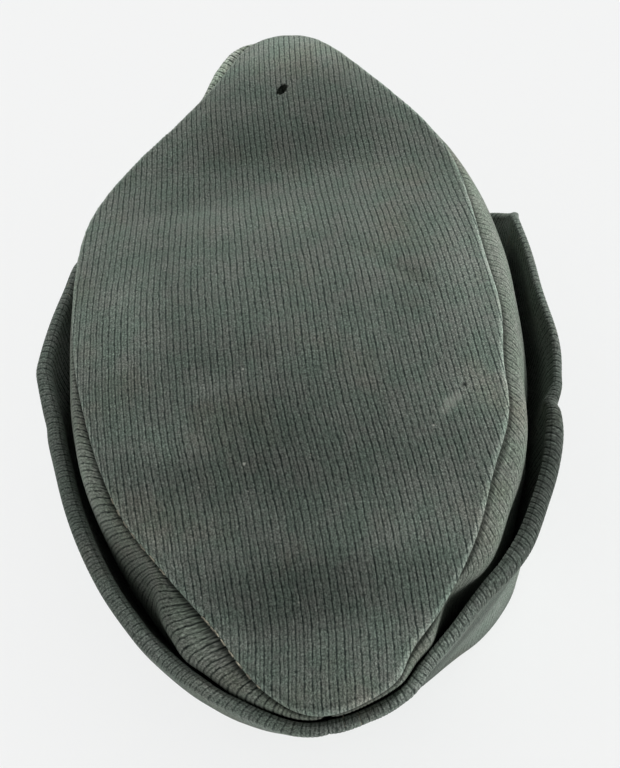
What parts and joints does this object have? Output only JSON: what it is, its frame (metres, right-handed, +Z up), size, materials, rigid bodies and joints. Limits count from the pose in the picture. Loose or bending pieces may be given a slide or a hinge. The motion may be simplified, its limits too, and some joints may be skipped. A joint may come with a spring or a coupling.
{
  "type": "field cap",
  "caption": "Ribbed wool side-type field cap with a long crowned top panel, bellied side walls and a turned-up flap, resting open on its hem.",
  "frame": {"origin": "on the surface that the hem rests on, under the middle of the cap's bounding box", "axes": "+Z up, -Y towards the front (the nose of the crown), +Y towards the back seam, +X towards the wearer's left"},
  "size_m": [0.1957, 0.2902, 0.1155],
  "materials": {
    "top_wool": "ribbed wool, faded grey-green, matt",
    "side_wool": "ribbed wool, grey-green, matt",
    "flap_wool": "ribbed wool, darker grey-green, matt"
  },
  "bodies": {
    "root": {"crown_top": "top_wool", "crown_side_left": "side_wool", "crown_side_right": "side_wool", "flap_left": "flap_wool", "flap_right": "flap_wool"}
  },
  "joints": []
}
